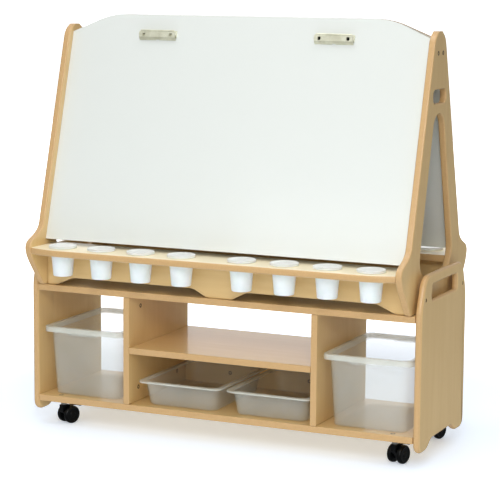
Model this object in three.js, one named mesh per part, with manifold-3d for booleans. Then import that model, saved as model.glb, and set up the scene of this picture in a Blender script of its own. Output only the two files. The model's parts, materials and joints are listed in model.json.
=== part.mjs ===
// Two-sided whiteboard easel for children, standing on a storage trolley with casters.
// Millimetres. X runs along the boards with +X to the right seen from the front, the
// front is -Y, +Z is up, and the origin is on the floor under the middle of the object.
import * as THREE from 'three';
import { mergeVertices } from 'three/addons/utils/BufferGeometryUtils.js';
import Module from 'manifold-3d';

const wasm = await Module();
wasm.setup();

// ---------------------------------------------------------------- driving dimensions
const PLY = 18;                    // plywood of every wooden piece
const GAP = 0.3;                   // clearance between pieces that touch
const CURVE_STEPS = 8;             // segments in each curve of an outline, doubled in an arc

// Trolley
const TROLLEY_WIDTH = 1150;
const TROLLEY_DEPTH = 366;
const FOOT_Z = 39;                 // underside of the end panels' feet
const FOOT_ARCH_Z = 61.5;          // top of the cut-out between two feet
const BOTTOM_BOARD_Z = 66.5;       // underside of the bottom board
const MIDDLE_SHELF_Z = 226.5;      // underside of the shelf in the centre bay
const TOP_BOARD_Z = 383;           // underside of the top board
const PANEL_TOP_Z = 502;
const DIVIDER_X = 278.7;           // middle of each divider
const SLOT = { width: 204, height: 41, radius: 10, z: 452.7 };
const PANEL_BOLT = { radius: 5.5, recess: 1.2, y: 150, z: 440 };

// Casters
const CASTER = { x: 497, y: 146 };
const CASTERS = [                  // side in X, side in Y and the angle each is turned to
  ['front_left', -1, -1, -22],
  ['front_right', 1, -1, -15],
  ['rear_left', -1, 1, -19],
  ['rear_right', 1, 1, -19],
];
const WHEEL_RADIUS = 25;
const WHEEL_TRAIL = 16;            // from the swivel axis back to the axle
const WHEEL_INNER = 8.7;           // inner face of each wheel, from the middle of the pair
const WHEEL_OUTER = 22.5;
const HOUSING_WIDTH = 16;
const HOUSING_TOP_Z = 54;
const HOUSING_ARC_STEPS = 5;
const STEM_RADIUS = 5;
const AXLE_RADIUS = 3;
const BRAKE_PIVOT = { y: 11, z: 47, radius: 1.6 };

// Tubs and trays, which share one footprint
const TUB = { width: 250, length: 338, wall: 2.5, radius: 26, flange: 12, draft: 10 };
const DEEP_TUB = { height: 195, skirt: 15, lip: 5.5, frontY: -174 };
const SHALLOW_TRAY = { height: 68, skirt: 5, frontY: -178 };
const TUB_CORNER_STEPS = 3;
const TUB_X = 422.5;               // middle of each side bay
const TRAY_X = [-122.5, 143];

// Easel
const FRAME_INNER_X = 530;         // inner face of each end frame
const SLOPE = 0.284;               // how much the sides run in for each unit of height
const FRAME_HALF_WIDTH = { z: 826, y: 120.5 };
const FRAME_TOP = { z: 1119.5, radius: 47 };
const ARCH = { z: 842, y: 51, slope: 0.258, topZ: 906, radius: 43.5, bottomZ: 479 };
const HAND_HOLE = { width: 100, height: 36, radius: 16, z: 951 };
const BOARD = { thickness: 6, bottomZ: 530, topZ: 1148, topY: 6.6 };
const BOARD_GROOVE = { tongue: 5.4, fit: 0.4, length: 594 };
const BOARD_CORNER = { x: 370, radius: 205, turn: THREE.MathUtils.degToRad(23.5) };
const SHELF = { topZ: 515, innerY: 130, endY: 262, frontY: 283 };
const APRON = { outerY: 175, archZ: 423.5 };
const RAIL = { bottomZ: 1045, topZ: 1081 };

// Paint pots, hanging by their rims in the shelf holes
const POT = { rim: 38.2, neck: 33, waist: 31.7, waistZ: 59, foot: 26.6, height: 84.5, wall: 1.8 };
const POT_FLANGE = 7.2;
const POT_HOLE_RADIUS = 34.5;
const POT_Y = 224;
const POT_X = [88.5, 210.7, 331.5, 451.5];
const POT_SEGMENTS = 14;
const POT_HOLE_SEGMENTS = 20;

// Board clips
const CLIP = { x: 261, up: 585, width: 113, metal: 1.2, pivotUp: 3, pivotOut: 6.5 };
const CLIP_WINDOW_X = 41;
const CLIP_PIN_RADIUS = 1.5;

const trolleyTopZ = TOP_BOARD_Z + PLY;
const bottomBoardTopZ = BOTTOM_BOARD_Z + PLY;
const panelInnerX = TROLLEY_WIDTH / 2 - PLY;
const halfDepth = TROLLEY_DEPTH / 2;
const lean = Math.atan(SLOPE);
const easelFootZ = trolleyTopZ + GAP;
const easelHalfLength = FRAME_INNER_X - GAP;

const FINISHES = {
  birch: { color: 0xe0c193, roughness: 0.45, metalness: 0 },
  whiteboard: { color: 0xf1f4f1, roughness: 0.15, metalness: 0 },
  potPlastic: { color: 0xf2f3f3, roughness: 0.35, metalness: 0 },
  frosted: { color: 0xdfe2dc, roughness: 0.4, metalness: 0 },
  chrome: { color: 0xc9cac6, roughness: 0.12, metalness: 1 },
  zinc: { color: 0xb9bab8, roughness: 0.35, metalness: 1 },
  blackPlastic: { color: 0x1c1e20, roughness: 0.4, metalness: 0 },
};

const easelAndTrolley = new THREE.Group();
const trolley = new THREE.Group();
const easel = new THREE.Group();
easelAndTrolley.add(trolley, easel);

// ---------------------------------------------------------------- helpers
const AXIS_X = new THREE.Vector3(1, 0, 0);
const AXIS_Y = new THREE.Vector3(0, 1, 0);
const AXIS_Z = new THREE.Vector3(0, 0, 1);
// An outline drawn in the YZ plane, extruded towards +X.
const DRAWN_IN_YZ = new THREE.Matrix4().makeBasis(AXIS_Y, AXIS_Z, AXIS_X);
// An outline drawn in the XZ plane, extruded towards -Y.
const DRAWN_IN_XZ = new THREE.Matrix4().makeBasis(AXIS_X, AXIS_Z, AXIS_Y.clone().negate());

function piece(parent, name, geometry, finish, position = [0, 0, 0]) {
  const mesh = new THREE.Mesh(geometry, new THREE.MeshStandardMaterial(FINISHES[finish]));
  mesh.name = name;
  mesh.position.set(...position);
  parent.add(mesh);
  return mesh;
}

function extrude(shape, depth, plane, curveSegments = CURVE_STEPS) {
  const options = { depth, bevelEnabled: false, curveSegments };
  const geometry = new THREE.ExtrudeGeometry(shape, options);
  return plane ? geometry.applyMatrix4(plane) : geometry;
}

function box(low, high) {
  const size = high.map((value, axis) => value - low[axis]);
  const centre = high.map((value, axis) => (value + low[axis]) / 2);
  return new THREE.BoxGeometry(...size).translate(...centre);
}

function rod(radius, length, segments = 20) {
  return new THREE.CylinderGeometry(radius, radius, length, segments);
}

// Closes a half outline, which runs up the +x side from axis to axis, with its mirror image.
function mirrored(half) {
  const right = half.getPoints(CURVE_STEPS);
  const left = right.slice(1, -1).reverse().map((point) => new THREE.Vector2(-point.x, point.y));
  return new THREE.Shape([...right, ...left]);
}

function polygon(points) {
  return new THREE.Shape(points.map(([x, y]) => new THREE.Vector2(x, y)));
}

// A lathe turned round +Z from [radius, z] points.
function turned(profile, segments) {
  const points = profile.map(([radius, z]) => new THREE.Vector2(radius, z));
  return new THREE.LatheGeometry(points, segments).rotateX(Math.PI / 2);
}

function roundedRectangle(width, height, radius, y = 0) {
  const shape = new THREE.Shape();
  const x = width / 2 - radius;
  const top = y + height / 2 - radius;
  const bottom = y - height / 2 + radius;
  shape.absarc(x, top, radius, 0, Math.PI / 2);
  shape.absarc(-x, top, radius, Math.PI / 2, Math.PI);
  shape.absarc(-x, bottom, radius, Math.PI, Math.PI * 1.5);
  shape.absarc(x, bottom, radius, Math.PI * 1.5, Math.PI * 2);
  shape.closePath();
  return shape;
}

function solid(geometry) {
  const bare = geometry.clone();
  bare.deleteAttribute('normal');
  bare.deleteAttribute('uv');
  const merged = mergeVertices(bare, 1e-4);
  return new wasm.Manifold(new wasm.Mesh({
    numProp: 3,
    vertProperties: Float32Array.from(merged.attributes.position.array),
    triVerts: Uint32Array.from(merged.index.array),
  }));
}

function toGeometry(manifold) {
  const mesh = manifold.getMesh();
  const geometry = new THREE.BufferGeometry();
  geometry.setAttribute('position', new THREE.BufferAttribute(mesh.vertProperties, 3));
  geometry.setIndex(new THREE.BufferAttribute(mesh.triVerts, 1));
  return geometry;
}

function join(...geometries) {
  return toGeometry(geometries.map(solid).reduce((sum, next) => sum.add(next)));
}

function cut(geometry, ...tools) {
  return toGeometry(tools.map(solid).reduce((rest, tool) => rest.subtract(tool), solid(geometry)));
}

// ---------------------------------------------------------------- trolley carcass
function endPanel() {
  const half = new THREE.Path();
  half.moveTo(0, FOOT_ARCH_Z);
  half.lineTo(72, FOOT_ARCH_Z);
  half.bezierCurveTo(98, FOOT_ARCH_Z, 104, FOOT_Z, 134, FOOT_Z);
  half.lineTo(halfDepth - 28, FOOT_Z);
  half.absarc(halfDepth - 28, FOOT_Z + 28, 28, -Math.PI / 2, 0);
  half.lineTo(halfDepth, 390);
  half.bezierCurveTo(halfDepth, 425, 172, 440, 165, 460);
  half.quadraticCurveTo(153, PANEL_TOP_Z, 118, PANEL_TOP_Z);
  half.lineTo(0, PANEL_TOP_Z);
  const shape = mirrored(half);
  shape.holes.push(roundedRectangle(SLOT.width, SLOT.height, SLOT.radius, SLOT.z));
  const recess = rod(PANEL_BOLT.radius, 2 * PANEL_BOLT.recess, 16).rotateZ(Math.PI / 2);
  const recesses = [-PANEL_BOLT.y, PANEL_BOLT.y].map(
    (y) => recess.clone().translate(PLY, y, PANEL_BOLT.z),
  );
  return cut(extrude(shape, PLY, DRAWN_IN_YZ), ...recesses);
}

function carcass() {
  const boardX = panelInnerX - GAP;
  const bayX = DIVIDER_X - PLY / 2 - GAP;
  const y = halfDepth - 1;
  const panel = endPanel();
  piece(trolley, 'trolley_right_end_panel', panel, 'birch', [panelInnerX, 0, 0]);
  const left = piece(trolley, 'trolley_left_end_panel', panel, 'birch', [-panelInnerX, 0, 0]);
  left.rotation.z = Math.PI;
  const wide = box([-boardX, -y, 0], [boardX, y, PLY]);
  piece(trolley, 'trolley_top_board', wide, 'birch', [0, 0, TOP_BOARD_Z]);
  piece(trolley, 'trolley_bottom_board', wide, 'birch', [0, 0, BOTTOM_BOARD_Z]);
  const middle = box([-bayX, -y, 0], [bayX, y, PLY]);
  piece(trolley, 'trolley_middle_shelf', middle, 'birch', [0, 0, MIDDLE_SHELF_Z]);
  const upright = [bottomBoardTopZ + GAP, TOP_BOARD_Z - GAP];
  const divider = box([-PLY / 2, -y, upright[0]], [PLY / 2, y, upright[1]]);
  piece(trolley, 'trolley_left_divider', divider, 'birch', [-DIVIDER_X, 0, 0]);
  piece(trolley, 'trolley_right_divider', divider, 'birch', [DIVIDER_X, 0, 0]);
  const back = box([-bayX, y - PLY, upright[0]], [bayX, y, MIDDLE_SHELF_Z - GAP]);
  piece(trolley, 'trolley_centre_back_panel', back, 'birch');
}

// ---------------------------------------------------------------- casters
// A round plate under the bottom board with the stem that the housing turns on.
function casterStem() {
  const plateTop = BOTTOM_BOARD_Z - GAP;
  const profile = [
    [0, 43], [STEM_RADIUS, 43], [STEM_RADIUS, HOUSING_TOP_Z + GAP], [8.5, HOUSING_TOP_Z + GAP],
    [8.5, plateTop - 2.5], [19, plateTop - 2.5], [19, plateTop], [0, plateTop],
  ];
  return turned(profile, 14);
}

// The body between the two wheels, turned by its stem bore.
function casterHousing(withBrake) {
  const shape = new THREE.Shape();
  shape.moveTo(-11, 36);
  shape.lineTo(8, 12);
  shape.absarc(WHEEL_TRAIL, WHEEL_RADIUS, 22, THREE.MathUtils.degToRad(-60),
    THREE.MathUtils.degToRad(75), false);
  shape.lineTo(12, HOUSING_TOP_Z);
  shape.lineTo(-11, HOUSING_TOP_Z);
  shape.closePath();
  const body = extrude(shape, HOUSING_WIDTH, DRAWN_IN_YZ, HOUSING_ARC_STEPS)
    .translate(-HOUSING_WIDTH / 2, 0, 0);
  const stemBore = rod(STEM_RADIUS + 0.5, 20, 14).rotateX(Math.PI / 2).translate(0, 0, 52);
  const axleBore = rod(AXLE_RADIUS + 0.5, 30, 14).rotateZ(Math.PI / 2)
    .translate(0, WHEEL_TRAIL, WHEEL_RADIUS);
  if (!withBrake) return cut(body, stemBore, axleBore);
  const slotShape = polygon([[6.5, 42], [14, 42], [50, 30], [50, 60], [6.5, 60]]);
  const slot = extrude(slotShape, 9.4, DRAWN_IN_YZ).translate(-4.7, 0, 0);
  const pinBore = rod(BRAKE_PIVOT.radius + 0.3, 30, 14).rotateZ(Math.PI / 2)
    .translate(0, BRAKE_PIVOT.y, BRAKE_PIVOT.z);
  return cut(body, stemBore, axleBore, slot, pinBore);
}

// Two wheels and the axle that joins them, in one turned solid.
function wheelPair() {
  const half = [
    [AXLE_RADIUS, WHEEL_INNER], [23, WHEEL_INNER], [WHEEL_RADIUS, 10.5],
    [WHEEL_RADIUS, 19], [20.5, WHEEL_OUTER], [0, WHEEL_OUTER],
  ];
  const otherHalf = half.map(([radius, x]) => [radius, -x]).reverse();
  return turned([...otherHalf, ...half], 20).rotateY(Math.PI / 2);
}

// The foot lever: an arm on a cross pin, with a wide tab behind the wheels.
function brakeLever() {
  const shape = polygon([
    [7.8, 43.8], [14, 43.8], [30, 46.5], [54, 44], [54, 48.4], [30, 51.5], [7.8, 50.5],
  ]);
  const arm = extrude(shape, 8.4, DRAWN_IN_YZ).translate(-4.2, 0, 0);
  const pin = rod(BRAKE_PIVOT.radius, HOUSING_WIDTH - 0.6, 14).rotateZ(Math.PI / 2)
    .translate(0, BRAKE_PIVOT.y, BRAKE_PIVOT.z);
  const tab = box([-12, 46.5, 43.7], [12, 55, 48.7]);
  return join(arm, pin, tab);
}

function casters() {
  const wheels = wheelPair();
  for (const [place, sideX, sideY, degrees] of CASTERS) {
    const caster = new THREE.Group();
    caster.position.set(sideX * CASTER.x, sideY * CASTER.y, 0);
    caster.rotation.z = THREE.MathUtils.degToRad(degrees);
    trolley.add(caster);
    const braked = sideY < 0;
    piece(caster, `caster_stem_${place}`, casterStem(), 'zinc');
    piece(caster, `caster_housing_${place}`, casterHousing(braked), 'blackPlastic');
    const axle = [0, WHEEL_TRAIL, WHEEL_RADIUS];
    piece(caster, `caster_wheels_${place}`, wheels, 'blackPlastic', axle);
    if (braked) piece(caster, `caster_brake_lever_${place}`, brakeLever(), 'blackPlastic');
  }
}

// ---------------------------------------------------------------- tubs and trays
// A rounded block whose sides run in by the draft towards its foot.
function tapered(width, length, radius, height, draft) {
  const outline = roundedRectangle(width, length, radius);
  const geometry = extrude(outline, height, null, TUB_CORNER_STEPS);
  const position = geometry.attributes.position;
  for (let i = 0; i < position.count; i += 1) {
    const rise = position.getZ(i) / height;
    const scaleX = 1 - (1 - rise) * (2 * draft / width);
    const scaleY = 1 - (1 - rise) * (2 * draft / length);
    position.setX(i, position.getX(i) * scaleX);
    position.setY(i, position.getY(i) * scaleY);
  }
  return geometry;
}

// An open container with a flange and a turned-down skirt round its mouth.
function container(height, skirt, wall, extras) {
  const width = TUB.width - 2 * TUB.flange;
  const length = TUB.length - 2 * TUB.flange;
  const body = tapered(width, length, TUB.radius, height, TUB.draft);
  const rim = tapered(TUB.width, TUB.length, TUB.radius - 4, skirt, 0)
    .translate(0, 0, height - skirt);
  const underRim = tapered(
    TUB.width - 2 * wall, TUB.length - 2 * wall, TUB.radius - 5, skirt, 0,
  ).translate(0, 0, height - skirt - wall);
  const hollow = tapered(width - 2 * wall, length - 2 * wall, TUB.radius - wall, height,
    TUB.draft).translate(0, 0, wall);
  const shell = solid(rim).subtract(solid(underRim)).add(solid(body));
  const full = extras.map(solid).reduce((sum, next) => sum.add(next), shell);
  return toGeometry(full.subtract(solid(hollow)));
}

// The skirt of a deep tub is deeper in the middle of its front and back, as a hand grip.
function gripLip(side) {
  const bottom = DEEP_TUB.height - DEEP_TUB.skirt;
  const lipZ = bottom - DEEP_TUB.lip;
  const shape = polygon([[-50, bottom + 1], [-40, lipZ], [40, lipZ], [50, bottom + 1]]);
  const outer = TUB.length / 2;
  return extrude(shape, TUB.wall, DRAWN_IN_XZ)
    .translate(0, side > 0 ? outer : TUB.wall - outer, 0);
}

// Small webs stiffen the rim of a tray from below.
function rimWeb(x, side) {
  const top = SHALLOW_TRAY.height - 2;
  const outer = TUB.length / 2 - 1;
  const inner = outer - TUB.flange - 1;
  return side < 0 ? box([x - 1.2, -outer, top - 11], [x + 1.2, -inner, top])
    : box([x - 1.2, inner, top - 11], [x + 1.2, outer, top]);
}

function containers() {
  const floor = bottomBoardTopZ + GAP;
  const tub = container(DEEP_TUB.height, DEEP_TUB.skirt, TUB.wall, [gripLip(-1), gripLip(1)]);
  const tubY = DEEP_TUB.frontY + TUB.length / 2;
  piece(trolley, 'deep_tub_left', tub, 'frosted', [-TUB_X, tubY, floor]);
  piece(trolley, 'deep_tub_right', tub, 'frosted', [TUB_X, tubY, floor]);
  const webs = [-81, 81].flatMap((x) => [rimWeb(x, -1), rimWeb(x, 1)]);
  const tray = container(SHALLOW_TRAY.height, SHALLOW_TRAY.skirt, TUB.wall, webs);
  const trayY = SHALLOW_TRAY.frontY + TUB.length / 2;
  piece(trolley, 'shallow_tray_left', tray, 'frosted', [TRAY_X[0], trayY, floor]);
  piece(trolley, 'shallow_tray_right', tray, 'frosted', [TRAY_X[1], trayY, floor]);
}

// ---------------------------------------------------------------- easel structure
function frameHalfWidth(z) {
  return FRAME_HALF_WIDTH.y + SLOPE * (FRAME_HALF_WIDTH.z - z);
}

function archHalfWidth(z) {
  return ARCH.y + ARCH.slope * (ARCH.z - z);
}

function boardFrontY(z) {
  return BOARD.topY + SLOPE * (BOARD.topZ - z);
}

// Ends a half outline with a corner arc that touches the sloping side given by widthAt.
function roundedTop(path, widthAt, topZ, radius) {
  const angle = Math.atan(widthAt(0) - widthAt(1));
  const centreY = widthAt(topZ - radius) - radius / Math.cos(angle);
  path.absarc(centreY, topZ - radius, radius, angle, Math.PI / 2);
  path.lineTo(0, topZ);
}

function frameOutline() {
  const half = new THREE.Path();
  half.moveTo(0, easelFootZ);
  half.lineTo(180, easelFootZ);
  half.quadraticCurveTo(192, easelFootZ, 202, 415);
  half.lineTo(239, 462);
  half.quadraticCurveTo(265, 494, 265, 512);
  half.quadraticCurveTo(265, 529, 248, 536);
  half.bezierCurveTo(222, 546, 197, 557, frameHalfWidth(577), 577);
  roundedTop(half, frameHalfWidth, FRAME_TOP.z, FRAME_TOP.radius);
  return mirrored(half);
}

function archOutline() {
  const half = new THREE.Path();
  half.moveTo(0, ARCH.bottomZ);
  half.lineTo(50, ARCH.bottomZ);
  half.bezierCurveTo(118, ARCH.bottomZ, 133, 528, archHalfWidth(557), 557);
  roundedTop(half, archHalfWidth, ARCH.topZ, ARCH.radius);
  return mirrored(half);
}

// The groove in an end frame that holds one end of the front board.
function boardGroove() {
  const { tongue, fit, length } = BOARD_GROOVE;
  const depth = tongue + 0.6;
  return box([-depth, -fit, -BOARD.thickness - fit], [depth, length, fit])
    .rotateX(Math.PI / 2 - lean)
    .translate(0, -boardFrontY(BOARD.bottomZ), BOARD.bottomZ);
}

// The two end frames stand with their feet on the trolley's top board.
function endFrames() {
  const shape = frameOutline();
  const handHole = roundedRectangle(
    HAND_HOLE.width, HAND_HOLE.height, HAND_HOLE.radius, HAND_HOLE.z,
  );
  shape.holes.push(archOutline(), handHole);
  const plate = extrude(shape, PLY, DRAWN_IN_YZ);
  const frame = cut(plate, boardGroove(), boardGroove().rotateZ(Math.PI));
  piece(easel, 'easel_right_end_frame', frame, 'birch', [FRAME_INNER_X, 0, 0]);
  const left = piece(easel, 'easel_left_end_frame', frame, 'birch', [-FRAME_INNER_X, 0, 0]);
  left.rotation.z = Math.PI;
}

// A bar between the end frames, bevelled to lie against the backs of both boards.
function topRail() {
  const behindBoard = BOARD.thickness / Math.cos(lean) + 2 * GAP;
  const bottomY = boardFrontY(RAIL.bottomZ) - behindBoard;
  const topY = boardFrontY(RAIL.topZ) - behindBoard;
  const section = polygon([
    [-bottomY, RAIL.bottomZ], [bottomY, RAIL.bottomZ], [topY, RAIL.topZ], [-topY, RAIL.topZ],
  ]);
  const bar = extrude(section, 2 * easelHalfLength, DRAWN_IN_YZ);
  piece(easel, 'easel_top_rail', bar, 'birch', [-easelHalfLength, 0, 0]);
}

// A whiteboard in its own plane: X along it, Y up it, its face at Z = 0.
function boardPanel() {
  const halfWidth = FRAME_INNER_X + BOARD_GROOVE.tongue;
  const height = (BOARD.topZ - BOARD.bottomZ) / Math.cos(lean);
  const { x, radius, turn } = BOARD_CORNER;
  const arcEndX = x + radius * Math.sin(turn);
  const arcEndY = height - radius * (1 - Math.cos(turn));
  const half = new THREE.Path();
  half.moveTo(0, 0);
  half.lineTo(halfWidth, 0);
  half.lineTo(halfWidth, arcEndY - (halfWidth - arcEndX) * Math.tan(turn));
  half.absarc(x, height - radius, radius, Math.PI / 2 - turn, Math.PI / 2);
  half.lineTo(0, height);
  return extrude(mirrored(half), BOARD.thickness).translate(0, 0, -BOARD.thickness);
}

// The shelf is bowed at its ends, and has a round hole for each pot.
function potShelf() {
  const half = new THREE.Path();
  half.moveTo(0, -SHELF.frontY);
  half.lineTo(430, -SHELF.frontY);
  half.bezierCurveTo(475, -SHELF.frontY, 505, -273, easelHalfLength, -SHELF.endY);
  half.lineTo(easelHalfLength, -SHELF.innerY);
  half.lineTo(0, -SHELF.innerY);
  const shape = mirrored(half);
  for (const x of POT_X.flatMap((value) => [-value, value])) {
    shape.holes.push(new THREE.Path().absarc(x, -POT_Y, POT_HOLE_RADIUS, 0, Math.PI * 2));
  }
  return extrude(shape, PLY, null, POT_HOLE_SEGMENTS / 2).translate(0, 0, SHELF.topZ - PLY);
}

// The board under the shelf, cut away between a middle foot and two end feet.
function apron() {
  const half = new THREE.Path();
  half.moveTo(0, easelFootZ);
  half.lineTo(32, easelFootZ);
  half.quadraticCurveTo(38, easelFootZ, 44, 404.5);
  half.lineTo(69, 418);
  half.quadraticCurveTo(79, APRON.archZ, 92, APRON.archZ);
  half.lineTo(438, APRON.archZ);
  half.quadraticCurveTo(450, APRON.archZ, 459, 419);
  half.lineTo(494, 404);
  half.quadraticCurveTo(500, easelFootZ, 506, easelFootZ);
  half.lineTo(easelHalfLength, easelFootZ);
  half.lineTo(easelHalfLength, SHELF.topZ - PLY - GAP);
  half.lineTo(0, SHELF.topZ - PLY - GAP);
  return extrude(mirrored(half), PLY, DRAWN_IN_XZ).translate(0, PLY - APRON.outerY, 0);
}

// ---------------------------------------------------------------- paint pots
function pot() {
  const underRim = POT.height - POT_FLANGE;
  return turned([
    [0, 0], [POT.foot - 2, 0], [POT.foot, 2.2], [POT.waist, POT.waistZ], [POT.neck, underRim],
    [POT.rim, underRim], [POT.rim, POT.height], [POT.neck - POT.wall, POT.height],
    [POT.waist - POT.wall, POT.waistZ], [POT.foot - POT.wall, POT.wall], [0, POT.wall],
  ], POT_SEGMENTS);
}

// ---------------------------------------------------------------- board clips
// Clips are drawn in the board's plane: X along it, Y up it, Z out of it. An outline in the
// YZ plane is the clip's section.
function clipBase() {
  const { metal, pivotUp, pivotOut } = CLIP;
  const half = CLIP.width / 2;
  const ear = polygon([
    [-8, GAP], [12, GAP], [9, 6], [pivotUp + 3, 9.6], [pivotUp - 3, 9.6], [-4, 6],
  ]);
  const plate = box([-half, -8, GAP], [half, 12, GAP + metal]);
  const rightEar = extrude(ear, metal, DRAWN_IN_YZ).translate(half - metal, 0, 0);
  const leftEar = extrude(ear, metal, DRAWN_IN_YZ).translate(-half, 0, 0);
  const pin = rod(CLIP_PIN_RADIUS, CLIP.width - metal, 10).rotateZ(Math.PI / 2)
    .translate(0, pivotUp, pivotOut);
  return join(plate, rightEar, leftEar, pin);
}

// The sprung jaw: a folded sheet with a rolled top edge, two lugs round the pin, a window
// over each end of the spring and a notch in the lip.
function clipJaw() {
  const { metal, pivotUp, pivotOut } = CLIP;
  const half = CLIP.width / 2 - metal - 0.4;
  const sheet = polygon([
    [-14.7, 0.5], [-13.3, 0.5], [-11.4, 4], [-7, 8.3], [9.2, 8.6], [9.2, 9.9], [-7.5, 9.5],
    [-12.5, 4.8],
  ]);
  const cover = extrude(sheet, 2 * half, DRAWN_IN_YZ).translate(-half, 0, 0);
  const roll = rod(2.4, 2 * half - 8, 10).rotateZ(Math.PI / 2).translate(0, 10.4, 9.2);
  const lugs = [-half, half - metal].flatMap((x) => [
    rod(4.2, metal, 10).rotateZ(Math.PI / 2).translate(x + metal / 2, pivotUp, pivotOut),
  ]);
  const bore = rod(CLIP_PIN_RADIUS + 0.4, CLIP.width, 10).rotateZ(Math.PI / 2)
    .translate(0, pivotUp, pivotOut);
  const windows = [-CLIP_WINDOW_X, CLIP_WINDOW_X].map((x) => box([x - 4, -5, 7], [x + 4, 4, 12]));
  const notch = box([-5, -16, 0], [5, -12.8, 6]);
  return cut(join(cover, roll, ...lugs), bore, ...windows, notch);
}

// ---------------------------------------------------------------- one painting side
function paintingSide(side, turn) {
  const group = new THREE.Group();
  group.rotation.z = turn;
  easel.add(group);
  piece(group, `${side}_pot_shelf`, potShelf(), 'birch');
  piece(group, `${side}_apron`, apron(), 'birch');

  const boardPlane = new THREE.Group();
  boardPlane.position.set(0, -boardFrontY(BOARD.bottomZ), BOARD.bottomZ);
  boardPlane.rotation.x = Math.PI / 2 - lean;
  group.add(boardPlane);
  piece(boardPlane, `${side}_whiteboard`, boardPanel(), 'whiteboard');
  for (const [place, x] of [['left', -CLIP.x], ['right', CLIP.x]]) {
    const position = [x, CLIP.up, 0];
    piece(boardPlane, `${side}_clip_base_${place}`, clipBase(), 'chrome', position);
    piece(boardPlane, `${side}_clip_jaw_${place}`, clipJaw(), 'chrome', position);
  }

  const potX = [...POT_X.map((x) => -x).reverse(), ...POT_X];
  const potFootZ = SHELF.topZ + GAP + POT_FLANGE - POT.height;
  potX.forEach((x, index) => {
    piece(group, `${side}_paint_pot_${index + 1}`, pot(), 'potPlastic', [x, -POT_Y, potFootZ]);
  });
}

carcass();
casters();
containers();
endFrames();
topRail();
paintingSide('front', 0);
paintingSide('rear', Math.PI);

export default easelAndTrolley;
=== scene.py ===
"""Looks of the two-sided whiteboard easel on its storage trolley, built round the CAD frame.

Metres, in the frame's axes: +X right, -Y front, +Z up, origin on the floor."""
import json
import math

import bmesh
import bpy
from mathutils import Matrix, Vector


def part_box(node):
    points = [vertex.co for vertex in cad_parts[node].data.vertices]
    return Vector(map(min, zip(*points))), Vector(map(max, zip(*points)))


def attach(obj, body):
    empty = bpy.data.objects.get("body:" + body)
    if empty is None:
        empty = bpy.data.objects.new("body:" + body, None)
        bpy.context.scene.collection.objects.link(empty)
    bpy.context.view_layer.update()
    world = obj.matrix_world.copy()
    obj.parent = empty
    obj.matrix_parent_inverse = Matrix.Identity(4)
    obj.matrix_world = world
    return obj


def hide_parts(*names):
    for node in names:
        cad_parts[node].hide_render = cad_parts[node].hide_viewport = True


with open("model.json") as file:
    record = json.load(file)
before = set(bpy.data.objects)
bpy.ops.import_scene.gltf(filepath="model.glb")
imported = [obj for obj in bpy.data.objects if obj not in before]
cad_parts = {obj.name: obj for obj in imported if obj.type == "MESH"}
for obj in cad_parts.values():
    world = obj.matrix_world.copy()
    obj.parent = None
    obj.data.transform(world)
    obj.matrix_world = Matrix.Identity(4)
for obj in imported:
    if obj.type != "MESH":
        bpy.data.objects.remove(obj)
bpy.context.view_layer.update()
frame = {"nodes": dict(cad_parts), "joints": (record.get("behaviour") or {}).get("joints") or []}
nodes = frame["nodes"]
joints = {joint["name"]: joint for joint in frame["joints"]}

MM = 0.001
SIDES = {"front": -1, "rear": 1}
WHITEBOARD_SLOPE = 0.284
LEAN = math.atan(WHITEBOARD_SLOPE)
PANEL_BOLT_Y = 150 * MM
PANEL_BOLT_Z = 440 * MM


# ------------------------------------------------------------------ small helpers
def srgb(red, green, blue):
    """Linear colour of an 8-bit sRGB colour."""
    linear = [((c / 255 + 0.055) / 1.055) ** 2.4 if c > 10 else c / 255 / 12.92
              for c in (red, green, blue)]
    return (*linear, 1.0)


def centre_of(name):
    low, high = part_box(name)
    return (low + high) / 2


class Shader:
    """A material's node tree, built by calls that return the node they add."""

    def __init__(self, name):
        self.material = bpy.data.materials.new(name)
        self.material.use_nodes = True
        self.tree = self.material.node_tree
        self.bsdf = self.tree.nodes["Principled BSDF"]
        self.coords = self.add("ShaderNodeTexCoord")

    def add(self, kind, inputs=None, **settings):
        node = self.tree.nodes.new(kind)
        for key, value in settings.items():
            setattr(node, key, value)
        for key, value in (inputs or {}).items():
            self.put(node.inputs[key], value)
        return node

    def put(self, socket, value):
        if isinstance(value, bpy.types.NodeSocket):
            self.tree.links.new(value, socket)
        else:
            socket.default_value = value

    def set(self, **values):
        for key, value in values.items():
            self.put(self.bsdf.inputs[key.replace("_", " ")], value)

    def math(self, operation, a, b=0.0, clamp=False):
        node = self.add("ShaderNodeMath", {0: a, 1: b}, operation=operation)
        node.use_clamp = clamp
        return node.outputs[0]

    def scaled(self, scale, offset=(0, 0, 0)):
        """The object's own coordinates, scaled and moved."""
        mapping = self.add("ShaderNodeMapping", {
            "Vector": self.coords.outputs["Object"], "Scale": scale, "Location": offset})
        return mapping.outputs["Vector"]

    def noise(self, vector, detail, roughness=0.5, distortion=0.0):
        node = self.add("ShaderNodeTexNoise", {
            "Vector": vector, "Scale": 1.0, "Detail": detail, "Roughness": roughness,
            "Distortion": distortion})
        return node.outputs["Fac"]

    def between(self, value, low, high):
        """0 below low, 1 above high, smooth between."""
        node = self.add("ShaderNodeMapRange", {
            "Value": value, "From Min": low, "From Max": high},
            interpolation_type="SMOOTHSTEP")
        return node.outputs["Result"]

    def mix(self, factor, a, b):
        node = self.add("ShaderNodeMix", data_type="RGBA")
        self.put(node.inputs[0], factor)
        self.put(node.inputs[6], a)
        self.put(node.inputs[7], b)
        return node.outputs[2]

    def along(self, vector, axis):
        """The part of a vector socket along an axis."""
        node = self.add("ShaderNodeVectorMath", {0: vector, 1: axis}, operation="DOT_PRODUCT")
        return node.outputs["Value"]

    def bump(self, height, strength, distance):
        node = self.add("ShaderNodeBump", {
            "Height": height, "Strength": strength, "Distance": distance})
        self.set(Normal=node.outputs["Normal"])


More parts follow.
